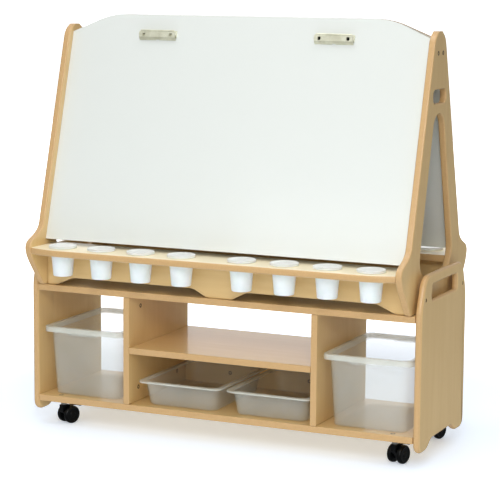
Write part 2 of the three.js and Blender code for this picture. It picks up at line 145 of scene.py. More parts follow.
# ------------------------------------------------------------------ materials
FACE_LIGHT = srgb(230, 197, 137)
FACE_DARK = srgb(202, 160, 98)
FACE_CLOUD = srgb(212, 174, 112)
# The pot shelves' faces are painted paler towards this colour. This is painted light and
# reflection from above, on wood of the same tone as the rest.
PAINTED_LIGHT_VENEER = srgb(252, 244, 214)
EDGE_LIGHT = srgb(213, 174, 119)
EDGE_DARK = srgb(178, 134, 82)
AXES = {"X": (1, 0, 0), "Y": (0, 1, 0), "Z": (0, 0, 1)}
PLY_LAYER = 1.4 * MM
FIGURE_ACROSS, FIGURE_ALONG = 26.0, 1.7
FIBRES_ACROSS, FIBRES_ALONG = 900.0, 16.0


def stretched(grain, across, along):
    """Noise scales that draw a pattern out along the grain."""
    return [along if axis == grain else across for axis in "XYZ"]


def birch(name, thickness, grain, seed, centre, painted_light):
    """Lacquered birch plywood: veneer on the faces, thin crossed layers on the edges, and faces
    painted paler by a share of painted light.
    """
    shader = Shader(name)
    offset = (seed * 3.7, seed * 1.9, seed * 5.3)
    figure = shader.noise(
        shader.scaled(stretched(grain, FIGURE_ACROSS, FIGURE_ALONG), offset),
        detail=5, roughness=0.6, distortion=0.9)
    fibre = shader.noise(
        shader.scaled(stretched(grain, FIBRES_ACROSS, FIBRES_ALONG), offset),
        detail=2, roughness=0.7)
    cloud = shader.noise(shader.scaled((3, 3, 3), offset), detail=2)
    tone = shader.math("ADD", shader.math("MULTIPLY", figure, 0.75),
                       shader.math("MULTIPLY", fibre, 0.25))
    grain_share = shader.math("ADD", shader.math("MULTIPLY", tone, 0.9), -0.2, clamp=True)
    veneer = shader.mix(grain_share, FACE_LIGHT, FACE_DARK)
    veneer = shader.mix(shader.math("MULTIPLY", shader.between(cloud, 0.4, 0.7), 0.3),
                        veneer, FACE_CLOUD)
    # Painted light: a share of a paler veneer brightens the faces. It stands in for the light and
    # reflection that the pot shelves' tops catch.
    veneer = shader.mix(painted_light, veneer, PAINTED_LIGHT_VENEER)

    axis = AXES[thickness]
    depth = shader.along(shader.coords.outputs["Object"], axis)
    layer = shader.math("DIVIDE", shader.math("SUBTRACT", depth, centre["XYZ".index(thickness)]),
                        2 * PLY_LAYER)
    stripe = shader.math("ABSOLUTE", shader.math("SINE", shader.math("MULTIPLY", layer, math.pi)))
    end_grain = shader.noise(shader.scaled((260, 260, 260), offset), detail=3)
    edge_tone = shader.math("ADD", shader.math("MULTIPLY", stripe, 0.55),
                            shader.math("MULTIPLY", end_grain, 0.45))
    edge = shader.mix(shader.between(edge_tone, -0.2, 0.9), EDGE_DARK, EDGE_LIGHT)

    facing = shader.math("ABSOLUTE", shader.along(shader.coords.outputs["Normal"], axis))
    is_face = shader.between(facing, 0.80, 0.93)
    shader.set(Base_Color=shader.mix(is_face, edge, veneer), Specular_IOR_Level=0.5,
               Coat_Weight=0.5 - 0.4 * painted_light, Coat_Roughness=0.12)
    shader.set(Roughness=shader.math("ADD", shader.math("MULTIPLY", fibre, 0.16), 0.36))
    shader.bump(fibre, 0.12, 0.15 * MM)
    return shader.material


def whiteboard(side):
    """Glossy white laminate, with the brown board showing on the edges."""
    shader = Shader(f"whiteboard_{side}")
    sign = SIDES[side]
    outward = (0, sign * math.cos(LEAN), math.sin(LEAN))
    facing = shader.math("ABSOLUTE", shader.along(shader.coords.outputs["Normal"], outward))
    is_face = shader.between(facing, 0.85, 0.97)
    wiped = shader.noise(shader.scaled((5, 5, 5)), detail=5, roughness=0.65, distortion=1.4)
    grain = shader.noise(shader.scaled((300, 300, 300)), detail=2)
    white = shader.mix(shader.math("MULTIPLY", wiped, 0.35), srgb(227, 230, 224),
                       srgb(222, 226, 219))
    edge = shader.mix(grain, srgb(134, 104, 76), srgb(176, 143, 108))
    shader.set(Base_Color=shader.mix(is_face, edge, white), Coat_Weight=0.45,
               Coat_Roughness=0.1)
    shader.set(Roughness=shader.math("ADD", shader.math("MULTIPLY", wiped, 0.12), 0.24))
    shader.bump(grain, 0.02, 0.05 * MM)
    return shader.material


def plastic(name, colour, shade, roughness, grain=900.0, bump=0.06):
    """Moulded plastic with a fine surface grain and slightly uneven gloss."""
    shader = Shader(name)
    fine = shader.noise(shader.scaled((grain, grain, grain)), detail=2)
    broad = shader.noise(shader.scaled((22, 22, 22)), detail=3, roughness=0.6)
    shader.set(Base_Color=shader.mix(shader.between(broad, 0.35, 0.7), colour, shade))
    shader.set(Roughness=shader.math("ADD", shader.math("MULTIPLY", broad, 0.14),
                                     roughness - 0.07))
    shader.bump(fine, bump, 0.1 * MM)
    return shader


def metal(name, colour, shade, roughness, metallic=1.0):
    """Plated steel with faint drawing lines along X and uneven polish."""
    shader = Shader(name)
    lines = shader.noise(shader.scaled((30, 1600, 1600)), detail=3, roughness=0.7)
    broad = shader.noise(shader.scaled((45, 45, 45)), detail=4, roughness=0.6)
    shader.set(Base_Color=shader.mix(shader.between(broad, 0.3, 0.75), colour, shade),
               Metallic=metallic)
    rough = shader.math("ADD", shader.math("MULTIPLY", lines, 0.14), roughness - 0.07)
    shader.set(Roughness=shader.math("ADD", shader.math("MULTIPLY", broad, 0.08), rough))
    shader.bump(lines, 0.05, 0.05 * MM)
    return shader.material


white_plastic = plastic("white_pot_plastic", srgb(240, 241, 239), srgb(232, 234, 232), 0.36)
white_plastic.set(Subsurface_Weight=0.12, Subsurface_Scale=0.01)
WHITE_PLASTIC = white_plastic.material

lid_plastic = plastic("white_lid_plastic", srgb(236, 237, 234), srgb(230, 231, 228), 0.3)
LID_PLASTIC = lid_plastic.material


def frosted(name, rim_z):
    """Cloudy clear plastic, denser in the turned-down rim above a height."""
    shader = plastic(name, srgb(236, 235, 222), srgb(228, 228, 214), 0.3, grain=500.0, bump=0.1)
    height = shader.along(shader.coords.outputs["Object"], AXES["Z"])
    rim = shader.between(height, rim_z - 1 * MM, rim_z + 1 * MM)
    shader.set(Alpha=shader.math("ADD", shader.math("MULTIPLY", rim, 0.22), 0.17),
               Specular_IOR_Level=0.5)
    return shader.material


black_plastic = plastic("black_housing_plastic", srgb(6, 7, 8), srgb(12, 13, 14), 0.28)
black_plastic.set(Specular_IOR_Level=0.22)
BLACK_PLASTIC = black_plastic.material
black_tyre = plastic("black_wheel_nylon", srgb(6, 7, 7), srgb(12, 13, 13), 0.3,
                     grain=1400.0, bump=0.12)
black_tyre.set(Specular_IOR_Level=0.22)
BLACK_TYRE = black_tyre.material
CLIP_NICKEL = metal("nickel_plated_clip", srgb(232, 231, 208), srgb(208, 206, 180), 0.26, 0.4)
SPRING_STEEL = metal("spring_steel", srgb(150, 148, 140), srgb(112, 110, 104), 0.28)
ZINC_STEEL = metal("zinc_plated_stem", srgb(212, 212, 210), srgb(180, 180, 178), 0.3)
BOLT_STEEL = metal("bronzed_bolt_head", srgb(64, 48, 32), srgb(36, 28, 20), 0.42, 0.5)


def dress(obj, material):
    obj.data.materials.clear()
    obj.data.materials.append(material)


# ------------------------------------------------------------------ edges of CAD nodes
def geometry_group(name):
    group = bpy.data.node_groups.new(name, "GeometryNodeTree")
    group.interface.new_socket("Geometry", in_out="INPUT", socket_type="NodeSocketGeometry")
    group.interface.new_socket("Geometry", in_out="OUTPUT", socket_type="NodeSocketGeometry")
    return group, group.nodes.new("NodeGroupInput"), group.nodes.new("NodeGroupOutput")


def sharper_than(group, degrees):
    """A socket that is true on edges that turn by more than this angle."""
    angle = group.nodes.new("GeometryNodeInputMeshEdgeAngle")
    compare = group.nodes.new("FunctionNodeCompare")
    compare.data_type = "FLOAT"
    compare.operation = "GREATER_THAN"
    compare.inputs[1].default_value = math.radians(degrees)
    group.links.new(angle.outputs["Unsigned Angle"], compare.inputs[0])
    return compare.outputs["Result"]


def calculate(group, operation, first, second=0.0):
    node = group.nodes.new("ShaderNodeMath")
    node.operation = operation
    for socket, value in zip(node.inputs, (first, second)):
        if isinstance(value, bpy.types.NodeSocket):
            group.links.new(value, socket)
        else:
            socket.default_value = value
    return node.outputs[0]


def place_sockets(group):
    """How far an edge's middle is from the two middle planes, and its height."""
    position = group.nodes.new("GeometryNodeInputPosition")
    split = group.nodes.new("ShaderNodeSeparateXYZ")
    group.links.new(position.outputs[0], split.inputs[0])
    x = calculate(group, "ABSOLUTE", split.outputs["X"])
    y = calculate(group, "ABSOLUTE", split.outputs["Y"])
    return x, y, split.outputs["Z"]


FACE_TO_GROOVE_MIDDLE = 3.1 * MM  # level, along Y, from a leaning board's face
GROOVE_REACH = 6 * MM
RECESS_REACH = 7 * MM
SHARP_EDGE = 33
SMOOTH_EDGE = 40


def board_front_y(z):
    """Distance of a whiteboard's face from the middle plane at a height."""
    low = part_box("front_whiteboard")[0]
    return -low.y - WHITEBOARD_SLOPE * (z - low.z)


def off_grooves(group):
    """1 away from the two board planes, along which the end frames are grooved."""
    _, y, z = place_sockets(group)
    middle = board_front_y(0) - FACE_TO_GROOVE_MIDDLE
    plane_y = calculate(group, "SUBTRACT", middle,
                        calculate(group, "MULTIPLY", z, WHITEBOARD_SLOPE))
    distance = calculate(group, "ABSOLUTE", calculate(group, "SUBTRACT", y, plane_y))
    return calculate(group, "GREATER_THAN", distance, GROOVE_REACH)


def off_recesses(group):
    """1 away from the two bolt recesses of an end panel."""
    _, y, z = place_sockets(group)
    side = calculate(group, "ABSOLUTE", calculate(group, "SUBTRACT", y, PANEL_BOLT_Y))
    rise = calculate(group, "ABSOLUTE", calculate(group, "SUBTRACT", z, PANEL_BOLT_Z))
    farther = calculate(group, "MAXIMUM", side, rise)
    return calculate(group, "GREATER_THAN", farther, RECESS_REACH)


def outer_edge(group):
    """1 on a pot shelf's long outer edge, 0 on its ends and its holes."""
    x, y, _ = place_sockets(group)
    pot_front = -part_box("front_paint_pot_1")[0].y
    shelf_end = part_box("front_pot_shelf")[1].x
    outside = calculate(group, "GREATER_THAN", y, pot_front - 1 * MM)
    between_ends = calculate(group, "LESS_THAN", x, shelf_end - 1 * MM)
    return calculate(group, "MULTIPLY", outside, between_ends)


def edge_weight_group(name, factor=None):
    group, start, end = geometry_group(name)
    store = group.nodes.new("GeometryNodeStoreNamedAttribute")
    store.data_type = "FLOAT"
    store.domain = "EDGE"
    store.inputs["Name"].default_value = "bevel_weight_edge"
    weight = sharper_than(group, SHARP_EDGE)
    if factor:
        weight = calculate(group, "MULTIPLY", weight, factor(group))
    group.links.new(start.outputs[0], store.inputs["Geometry"])
    group.links.new(weight, store.inputs["Value"])
    group.links.new(store.outputs[0], end.inputs[0])
    return group


def smooth_group(name, degrees):
    """Shades smooth, but keeps edges sharper than an angle crisp."""
    group, start, end = geometry_group(name)
    forget = group.nodes.new("GeometryNodeRemoveAttribute")
    forget.inputs["Name"].default_value = "custom_normal"
    smooth = group.nodes.new("GeometryNodeSetShadeSmooth")
    crisp = group.nodes.new("GeometryNodeSetShadeSmooth")
    crisp.domain = "EDGE"
    crisp.inputs["Shade Smooth"].default_value = False
    group.links.new(start.outputs[0], forget.inputs["Geometry"])
    group.links.new(forget.outputs[0], smooth.inputs[0])
    group.links.new(smooth.outputs[0], crisp.inputs[0])
    group.links.new(sharper_than(group, degrees), crisp.inputs["Selection"])
    group.links.new(crisp.outputs[0], end.inputs[0])
    return group


EDGE_WEIGHTS = {
    "any": edge_weight_group("weigh_sharp_edges"),
    "off_grooves": edge_weight_group("weigh_edges_off_grooves", off_grooves),
    "off_recesses": edge_weight_group("weigh_edges_off_recesses", off_recesses),
    "outer_edge": edge_weight_group("weigh_outer_edge", outer_edge),
}
SMOOTH = smooth_group("smooth_by_angle", SMOOTH_EDGE)


def round_edges(obj, width, segments=2, which="any", clamp=False):
    """Merges the facets' vertices, rounds the sharp edges and shades the result."""
    weld = obj.modifiers.new("weld", "WELD")
    weld.merge_threshold = 0.01 * MM
    flat = obj.modifiers.new("join_flat_faces", "DECIMATE")
    flat.decimate_type = "DISSOLVE"
    flat.angle_limit = math.radians(0.6)
    weigh = obj.modifiers.new("weigh_edges", "NODES")
    weigh.node_group = EDGE_WEIGHTS[which]
    bevel = obj.modifiers.new("round_edges", "BEVEL")
    bevel.limit_method = "WEIGHT"
    bevel.width = width
    bevel.segments = segments
    bevel.use_clamp_overlap = clamp
    bevel.miter_outer = "MITER_ARC"
    smooth = obj.modifiers.new("smooth", "NODES")
    smooth.node_group = SMOOTH
    weighted = obj.modifiers.new("even_normals", "WEIGHTED_NORMAL")
    weighted.keep_sharp = True


# ------------------------------------------------------------------ mesh building
def new_piece(name, mesh_data, material, body):
    obj = bpy.data.objects.new(name, mesh_data)
    bpy.context.scene.collection.objects.link(obj)
    dress(obj, material)
    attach(obj, body)
    return obj


def mesh_from(name, build, smooth_angle):
    """A mesh made by a function that fills a bmesh, shaded smooth by angle."""
    bm = bmesh.new()
    build(bm)
    bmesh.ops.recalc_face_normals(bm, faces=bm.faces)
    for face in bm.faces:
        face.smooth = True
    for edge in bm.edges:
        if len(edge.link_faces) == 2:
            edge.smooth = edge.calc_face_angle() < math.radians(smooth_angle)
    data = bpy.data.meshes.new(name)
    bm.to_mesh(data)
    bm.free()
    return data


def skin_rings(bm, rings):
    """Joins rings of points, each with as many points, by quads, and caps the two ends."""
    rows = [[bm.verts.new(point) for point in ring] for ring in rings]
    for lower, upper in zip(rows, rows[1:]):
        for i in range(len(lower)):
            j = (i + 1) % len(lower)
            bm.faces.new((lower[i], lower[j], upper[j], upper[i]))
    bm.faces.new(list(reversed(rows[0])))
    bm.faces.new(rows[-1])


def circle_ring(radius, z, segments):
    return [Vector((radius * math.cos(a), radius * math.sin(a), z))
            for a in (2 * math.pi * i / segments for i in range(segments))]


def turned(profile, segments=48):
    """A solid turned round Z from (radius, z) points in millimetres."""
    def build(bm):
        skin_rings(bm, [circle_ring(r * MM, z * MM, segments) for r, z in profile])
    return build


def rounded_profile(points, radius, steps=3):
    """A profile with each corner between its ends replaced by a short curve."""
    result = [points[0]]
    for before, corner, after in zip(points, points[1:], points[2:]):
        before, corner, after = Vector(before), Vector(corner), Vector(after)
        to_before, to_after = before - corner, after - corner
        reach = min(radius, to_before.length * 0.45, to_after.length * 0.45)
        start = corner + to_before.normalized() * reach
        stop = corner + to_after.normalized() * reach
        for i in range(steps + 1):
            t = i / steps
            point = start * (1 - t) ** 2 + corner * 2 * t * (1 - t) + stop * t ** 2
            result.append(tuple(point))
    result.append(points[-1])
    return result


# ------------------------------------------------------------------ wood and whiteboards
WOOD = {
    # node: (thickness axis, grain axis, edge radius in millimetres, which edges)
    "trolley_left_end_panel": ("X", "Z", 7.5, "off_recesses"),
    "trolley_right_end_panel": ("X", "Z", 7.5, "off_recesses"),
    "trolley_top_board": ("Z", "X", 2.0, "any"),
    "trolley_bottom_board": ("Z", "X", 2.0, "any"),
    "trolley_middle_shelf": ("Z", "X", 2.0, "any"),
    "trolley_left_divider": ("X", "Z", 2.0, "any"),
    "trolley_right_divider": ("X", "Z", 2.0, "any"),
    "trolley_centre_back_panel": ("Y", "X", 1.5, "any"),
    "easel_left_end_frame": ("X", "Z", 4.0, "off_grooves"),
    "easel_right_end_frame": ("X", "Z", 4.0, "off_grooves"),
    "easel_top_rail": ("Z", "X", 1.5, "any"),
    "front_pot_shelf": ("Z", "X", 5.0, "outer_edge"),
    "rear_pot_shelf": ("Z", "X", 5.0, "outer_edge"),
    "front_apron": ("Y", "X", 2.5, "any"),
    "rear_apron": ("Y", "X", 2.5, "any"),
}


# Share of painted light on the pot shelves' faces: a paler veneer standing in for light and
# reflection from above.
POT_SHELF_PAINTED_LIGHT = 0.75
WIDE_ROUNDING = 3.0


def dress_wood():
    for seed, (name, (thickness, grain, radius, which)) in enumerate(WOOD.items(), 1):
        obj = nodes[name]
        # Only the pot shelves get the painted light of a paler veneer.
        painted_light = POT_SHELF_PAINTED_LIGHT if name.endswith("pot_shelf") else 0.0
        dress(obj, birch(f"birch_{name}", thickness, grain, seed, centre_of(name), painted_light))
        round_edges(obj, radius * MM, 4 if radius > WIDE_ROUNDING else 2, which)


def dress_whiteboards():
    for side in SIDES:
        board = nodes[f"{side}_whiteboard"]
        dress(board, whiteboard(side))
        round_edges(board, 0.7 * MM)


# ------------------------------------------------------------------ paint pots and lids
# Millimetres, outward from the pot's axis and up from its foot. AXIS is the radius of the
# tiny ring that closes a turned profile on its axis.
AXIS = 0.01
POTS_PER_SIDE = 8
POT_WALL = 1.6
POT_RIM_DEPTH = 7.2
POT_WAIST_Z = 59
POT_NECK_INSET = 5.2
POT_WAIST_INSET = 6.5
POT_FOOT_INSET = 11.6
LID_DROP = 2.0


def pot_profile(rim, height):
    """Outline of a pot, from its foot up outside to its rim, and back down inside."""
    shoulder = height - POT_RIM_DEPTH
    mouth = height - LID_DROP - 0.4
    foot, waist, neck = rim - POT_FOOT_INSET, rim - POT_WAIST_INSET, rim - POT_NECK_INSET
    outline = [(AXIS, 0.9), (foot - 3, 0.9), (foot - 1.6, 0), (foot, 1.8), (waist, POT_WAIST_Z),
               (neck, shoulder), (rim, shoulder), (rim, mouth), (neck - POT_WALL, mouth),
               (waist - POT_WALL, POT_WAIST_Z), (foot - POT_WALL, 3.4), (foot - 4, 2.4),
               (AXIS, 2.4)]
    return rounded_profile(outline, 1.8)


def lid_profile(rim, height):
    """A snap lid: a disc sunk inside a raised bead, a short skirt and a plug in the mouth."""
    inner = rim - POT_NECK_INSET - POT_WALL
    seat = height - LID_DROP
    outline = [(AXIS, seat - 1.2), (inner - 2.6, seat - 1.2), (inner - 2.2, seat - 4.6),
               (inner - 0.9, seat - 4.6), (inner - 0.5, seat), (rim, seat), (rim, height - 0.5),
               (rim - 1.2, height), (rim - 3.2, height), (rim - 4.4, height - 1.1),
               (AXIS, height - 0.8)]
    return rounded_profile(outline, 0.6, 2)


def lid_tab(rim, height):
    """The thumb tab that stands a little above the lid's bead."""
    def build(bm):
        rings = []
        for z, grow in ((height - 1.6, 0.0), (height - 0.3, 0.0), (height, -0.5)):
            half, reach = 5.0 + grow, rim - 0.1 + grow
            outline = [(-half, rim - 4.2), (half, rim - 4.2), (half * 0.9, reach - 0.6),
                       (half * 0.5, reach), (-half * 0.5, reach), (-half * 0.9, reach - 0.6)]
            rings.append([Vector((x * MM, y * MM, z * MM)) for x, y in outline])
        skin_rings(bm, rings)
    return build


def make_pots():
    low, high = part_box("front_paint_pot_1")
    rim = max(high.x - low.x, high.y - low.y) / 2 / MM
    height = (high.z - low.z) / MM
    pot_mesh = mesh_from("paint_pot", turned(pot_profile(rim, height)), 50)

    def build_lid(bm):
        turned(lid_profile(rim, height))(bm)
        lid_tab(rim, height)(bm)

    lid_mesh = mesh_from("pot_lid", build_lid, 50)
    pot_mesh.materials.append(WHITE_PLASTIC)
    lid_mesh.materials.append(LID_PLASTIC)
    for side in SIDES:
        for number in range(1, POTS_PER_SIDE + 1):
            node = f"{side}_paint_pot_{number}"
            low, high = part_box(node)
            place = Vector(((low.x + high.x) / 2, (low.y + high.y) / 2, low.z))
            for part, mesh in (("moulding", pot_mesh), ("lid", lid_mesh)):
                obj = bpy.data.objects.new(f"{node}_{part}", mesh)
                bpy.context.scene.collection.objects.link(obj)
                obj.location = place
                obj.rotation_euler.z = 0.35 + number * 1.3
                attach(obj, node)
                if part == "moulding":
                    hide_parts(node)


# ------------------------------------------------------------------ tubs and trays
CORNER_STEPS = 10
LONG_SPAN = 20
SPAN_STEPS = 24
FLANGE = 12.0
DRAFT = 10.0
TUB_WALL = 2.4
TUB_CORNER = 26.0
FLOOR_FILLET = 4.5
FILLET_STEPS = 4
GRIP_HALF_WIDTH = 52
GRIP_RUN_OUT = 10


def rectangle_ring(half_x, half_y, radius, z, lip=None):
    """A rounded rectangle of points. lip(x) lowers the points on the front and back."""
    ring = []
    for cx, cy, start in ((1, 1, 0), (-1, 1, 90), (-1, -1, 180), (1, -1, 270)):
        for step in range(CORNER_STEPS + 1):
            angle = math.radians(start + 90 * step / CORNER_STEPS)
            ring.append((cx * (half_x - radius) + radius * math.cos(angle),
                         cy * (half_y - radius) + radius * math.sin(angle)))
    filled = []
    for (ax, ay), (bx, by) in zip(ring, ring[1:] + ring[:1]):
        filled.append((ax, ay))
        if math.hypot(bx - ax, by - ay) > LONG_SPAN:
            filled += [(ax + (bx - ax) * i / SPAN_STEPS, ay + (by - ay) * i / SPAN_STEPS)
                       for i in range(1, SPAN_STEPS)]
    points = []
    for x, y in filled:
        drop = lip(x) if lip and abs(y) > half_y - 1 else 0.0
        points.append(Vector((x * MM, y * MM, (z - drop) * MM)))
    return points


def grip_lip(depth):
    """A rim that hangs lower in its middle, as a grip."""
    def drop(x):
        t = min(max((GRIP_HALF_WIDTH - abs(x)) / GRIP_RUN_OUT, 0), 1)
        return depth * t * t * (3 - 2 * t)
    return drop


def container(height, skirt, lip_depth, half_x, half_y):
    """An open tub with a filleted floor, drafted walls and a turned-down rim."""
    wall, corner = TUB_WALL, TUB_CORNER
    body_x, body_y = half_x - FLANGE, half_y - FLANGE
    drop = grip_lip(lip_depth) if lip_depth else None

    def shell(inset, z):
        shrink = DRAFT * (1 - z / height) + inset
        return rectangle_ring(body_x - shrink, body_y - shrink, corner - inset, z)

    def part_way(inset, part):
        return shell(inset, FLOOR_FILLET + (height - FLOOR_FILLET) * part)

    def flange(inset, radius, z, lip=None):
        return rectangle_ring(half_x - inset, half_y - inset, radius, z, lip)

    def mouth(inset, radius, z):
        return rectangle_ring(body_x - inset, body_y - inset, radius, z)

    def fillet(steps, inset):
        """Rings round the floor's fillet, outside or a wall's thickness inside."""
        reach = FLOOR_FILLET - inset
        for step in steps:
            angle = math.radians(90 * step / FILLET_STEPS)
            yield shell(inset + reach * (1 - math.sin(angle)),
                        inset + reach * (1 - math.cos(angle)))

    def build(bm):
        rings = list(fillet(range(FILLET_STEPS + 1), 0))
        rings += [part_way(0, 0.35), part_way(0, 0.7), shell(0, height - wall - 1.5)]
        rings += [mouth(-1.5, corner, height - wall), flange(wall, corner - 5, height - wall)]
        rings += [flange(wall, corner - 5, height - skirt, drop),
                  flange(0.3, corner - 4, height - skirt, drop),
                  flange(0, corner - 4, height - skirt + 0.8, drop),
                  flange(0, corner - 4, height - 1.6),
                  flange(0.5, corner - 4, height - 0.5),
                  flange(1.6, corner - 5, height)]
        rings += [mouth(wall - 3, corner - 1, height), mouth(wall - 0.8, corner - 2, height - 0.9)]
        rings += [shell(wall, height - 3.4), part_way(wall, 0.7), part_way(wall, 0.35)]
        rings += fillet(range(FILLET_STEPS, -1, -1), wall)
        skin_rings(bm, rings)
    return build


def make_containers():
    for kind, skirt, lip_depth in (("deep_tub", 15.0, 5.5), ("shallow_tray", 5.0, 0.0)):
        for side in ("left", "right"):
            node = f"{kind}_{side}"
            low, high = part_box(node)
            size = (high - low) / MM
            build = container(size.z, skirt, lip_depth, size.x / 2, size.y / 2)
            data = mesh_from(f"{node}_moulding", build, 50)
            middle = (low + high) / 2
            data.transform(Matrix.Translation((middle.x, middle.y, low.z)))
            plastic_skin = frosted(f"frosted_{node}", high.z - skirt * MM)
            piece = new_piece(f"{node}_moulding", data, plastic_skin, node)
            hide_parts(node)


# ------------------------------------------------------------------ casters
def joint_place(name):
    return Vector(joints[name]["pos_m"])


def axle_direction(place):
    return Vector(joints[f"wheel_roll_{place}"]["axis"]).normalized()


def upright(place, name):
    """A frame at a joint with X along the caster's axle and Z up."""
    axle = axle_direction(place)
    side = Vector((0, 0, 1)).cross(axle)
    turn = Matrix((axle, side, Vector((0, 0, 1)))).transposed().to_4x4()
    return Matrix.Translation(joint_place(name)) @ turn


def wheel_profile():
    """One wheel along its axle: tread, rounded shoulder and a dished outer face."""
    outline = [(AXIS, 8.7), (22.6, 8.7), (25, 10.6), (25, 18.8), (22.4, 21.8), (19.6, 22.5),
               (18.4, 21.4), (8.2, 20.6), (7.4, 22.1), (AXIS, 22.1)]
    return rounded_profile(outline, 1.4)


def axle_profile():
    return rounded_profile([(AXIS, -9.4), (3, -9.4), (3, 9.4), (AXIS, 9.4)], 0.3)


def make_casters():
    for place in ("front_left", "front_right", "rear_left", "rear_right"):
        for part, radius in (("housing", 1.6), ("stem", 0.5)):
            obj = nodes[f"caster_{part}_{place}"]
            dress(obj, ZINC_STEEL if part == "stem" else BLACK_PLASTIC)
            round_edges(obj, radius * MM)
        if place.startswith("front"):
            lever = nodes[f"caster_brake_lever_{place}"]
            dress(lever, BLACK_PLASTIC)
            round_edges(lever, 1.1 * MM)
        to_axle = upright(place, f"wheel_roll_{place}")
        node = f"caster_wheels_{place}"
        for side in (1, -1):
            data = mesh_from(f"wheel_{place}", turned(wheel_profile(), 64), 50)
            lay_down = Matrix.Rotation(math.radians(90 * side), 4, "Y")
            data.transform(to_axle @ lay_down)
            name = f"caster_wheel_{place}_{'right' if side > 0 else 'left'}"
            new_piece(name, data, BLACK_TYRE, f"wheels_{place}")
        axle = mesh_from(f"axle_{place}", turned(axle_profile(), 24), 50)
        axle.transform(to_axle @ Matrix.Rotation(math.radians(90), 4, "Y"))
        new_piece(f"caster_axle_{place}", axle, ZINC_STEEL, f"wheels_{place}")
        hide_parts(node)


# ------------------------------------------------------------------ board clips
SPRING_X = 41 * MM
SPRING_LENGTH = 6.6 * MM
SPRING_RADIUS = 1.7 * MM
SPRING_TURNS = 5
WIRE_RADIUS = 0.35 * MM
WIRE_SIDES = 8
STEPS_PER_TURN = 14


def coil_spring(bm):
    """A coil spring along X, centred on the origin."""
    count = SPRING_TURNS * STEPS_PER_TURN
    rings = []
    for i in range(count + 1):
        angle = 2 * math.pi * i / STEPS_PER_TURN
        along = Vector(((i / count - 0.5) * SPRING_LENGTH, 0, 0))
        radial = Vector((0, math.cos(angle), math.sin(angle)))
        centre = along + radial * SPRING_RADIUS
        ring = []
        for k in range(WIRE_SIDES):
            a = 2 * math.pi * k / WIRE_SIDES
            ring.append(centre + radial * (WIRE_RADIUS * math.cos(a))
                        + Vector((WIRE_RADIUS * math.sin(a), 0, 0)))
        rings.append(ring)
    skin_rings(bm, rings)


def make_clips():
    for side in SIDES:
        for place in ("left", "right"):
            base = nodes[f"{side}_clip_base_{place}"]
            jaw = nodes[f"{side}_clip_jaw_{place}"]
            for obj in (base, jaw):
                dress(obj, CLIP_NICKEL)
                round_edges(obj, 0.3 * MM, clamp=obj is jaw)
            pin = joint_place(f"clip_jaw_{side}_{place}")
            for end in (-1, 1):
                data = mesh_from("clip_spring", coil_spring, 60)
                data.transform(Matrix.Translation(pin + Vector((end * SPRING_X, 0, 0))))
                name = f"{side}_clip_spring_{place}_{'right' if end > 0 else 'left'}"
                new_piece(name, data, SPRING_STEEL, "easel")


# ------------------------------------------------------------------ bolts
# Radii are in millimetres, as in the turned profiles. Places and depths are in metres.
PANEL_BOLT_SINK = 1.0 * MM
PANEL_BOLT_RADIUS = 4.9
FRAME_BOLT_Y = 18.5 * MM
FRAME_BOLT_RADIUS = 6.0
DIVIDER_BOLT_RADIUS = 6.0
DIVIDER_BOLTS = {
    # label: (y, z) in millimetres
    "upper": (-113, 351),
    "lower_front": (-126, 124),
    "lower_rear": (112, 122),
}
BACK_BOLT_X, BACK_BOLT_Z = 124 * MM, 120 * MM
BACK_BOLT_RADIUS = 5.5
BOTTOM_BOLT_X, BOTTOM_BOLT_Y = 496 * MM, -162 * MM
BOTTOM_BOLT_SINK = 0.3 * MM
BOTTOM_BOLT_RADIUS = 7.0


def bolt_head_profile(radius):
    return rounded_profile([(AXIS, -2.6), (radius - 0.6, -2.6), (radius, -2.0), (radius, 0.15),
                            (radius * 0.86, 0.45), (radius * 0.5, 0.45), (radius * 0.44, -1.6),
                            (AXIS, -1.6)], 0.25, 2)


def bolt(name, position, outward, body, radius):
    """A flush socket-head bolt, facing outward."""
    data = mesh_from(name, turned(bolt_head_profile(radius), 28), 45)
    turn = Vector(outward).to_track_quat("Z", "Y").to_matrix().to_4x4()
    data.transform(Matrix.Translation(position) @ turn)
    new_piece(name, data, BOLT_STEEL, body)


def side_face(name, sign):
    """X of a piece's face on the right (1) or on the left (-1)."""
    low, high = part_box(name)
    return high.x if sign > 0 else low.x


def make_bolts():
    rail_z = centre_of("easel_top_rail").z
    back_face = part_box("trolley_centre_back_panel")[0].y
    bottom_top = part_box("trolley_bottom_board")[1].z
    for side, sign in (("left", -1), ("right", 1)):
        outward = (sign, 0, 0)
        sunk = side_face(f"trolley_{side}_end_panel", sign) - sign * PANEL_BOLT_SINK
        for end, y in (("front", -PANEL_BOLT_Y), ("rear", PANEL_BOLT_Y)):
            bolt(f"trolley_{side}_bolt_{end}", Vector((sunk, y, PANEL_BOLT_Z)), outward,
                 "trolley", PANEL_BOLT_RADIUS)
        outer = side_face(f"easel_{side}_end_frame", sign)
        for end, y in (("front", -FRAME_BOLT_Y), ("rear", FRAME_BOLT_Y)):
            bolt(f"easel_{side}_bolt_{end}", Vector((outer, y, rail_z)), outward, "easel",
                 FRAME_BOLT_RADIUS)
        inner = side_face(f"trolley_{side}_divider", -sign)
        for label, (y, z) in DIVIDER_BOLTS.items():
            bolt(f"{side}_divider_bolt_{label}", Vector((inner, y * MM, z * MM)),
                 (-sign, 0, 0), "trolley", DIVIDER_BOLT_RADIUS)
        on_back = Vector((sign * BACK_BOLT_X, back_face, BACK_BOLT_Z))
        bolt(f"back_panel_bolt_{side}", on_back, (0, -1, 0), "trolley", BACK_BOLT_RADIUS)
        on_board = Vector((sign * BOTTOM_BOLT_X, BOTTOM_BOLT_Y, bottom_top - BOTTOM_BOLT_SINK))
        bolt(f"bottom_board_bolt_{side}", on_board, (0, 0, 1), "trolley", BOTTOM_BOLT_RADIUS)


